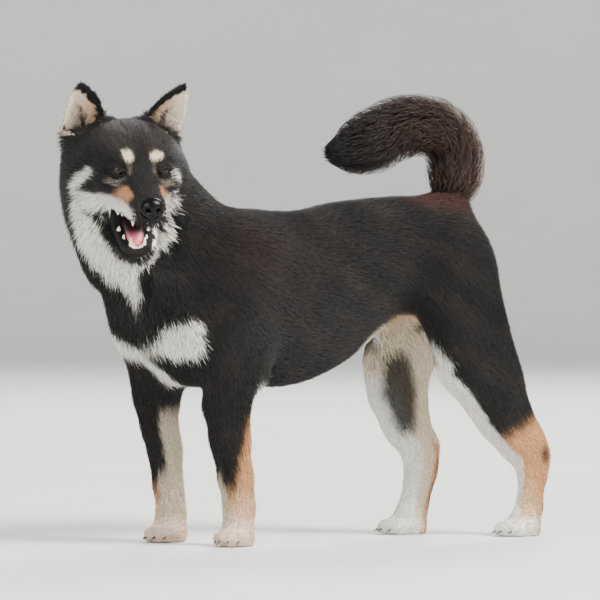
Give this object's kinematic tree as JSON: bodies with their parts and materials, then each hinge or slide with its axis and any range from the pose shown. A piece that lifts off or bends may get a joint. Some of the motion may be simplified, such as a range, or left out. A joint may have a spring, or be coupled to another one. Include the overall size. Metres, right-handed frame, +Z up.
{
  "type": "shiba inu dog figure",
  "caption": "Life-size still model of a black and tan spitz dog standing on all fours, head turned to its left, mouth open, tail curled over its back.",
  "frame": {"origin": "centre of the bounding box on the floor plane, under the soles", "axes": "+Z up, the dog faces -Y, +X is its left side"},
  "size_m": [0.226, 0.6046, 0.5156],
  "materials": {
    "coat_black": "short dense fur",
    "coat_tan": "short dense fur",
    "coat_cream": "short dense fur",
    "coat_tail": "long brush of fur",
    "ear": "short fur over a cup of skin",
    "nose": "moist nose leather",
    "eye": "dark brown, glossy",
    "mouth": "moist tongue"
  },
  "bodies": {
    "root": {"torso": "coat_black", "neck": "coat_black", "head": "coat_black", "jaw_lower": "coat_cream", "tongue": "mouth", "nose": "nose", "eye_left": "eye", "eye_right": "eye", "ear_left": "ear", "ear_right": "ear", "foreleg_left": "coat_black", "foreleg_right": "coat_black", "hindleg_left": "coat_black", "hindleg_right": "coat_black", "paw_fore_left": "coat_tan", "paw_fore_right": "coat_tan", "paw_hind_left": "coat_cream", "paw_hind_right": "coat_cream", "tail_root": "coat_tail", "tail_arch": "coat_tail", "tail_tip": "coat_tail"}
  },
  "joints": []
}
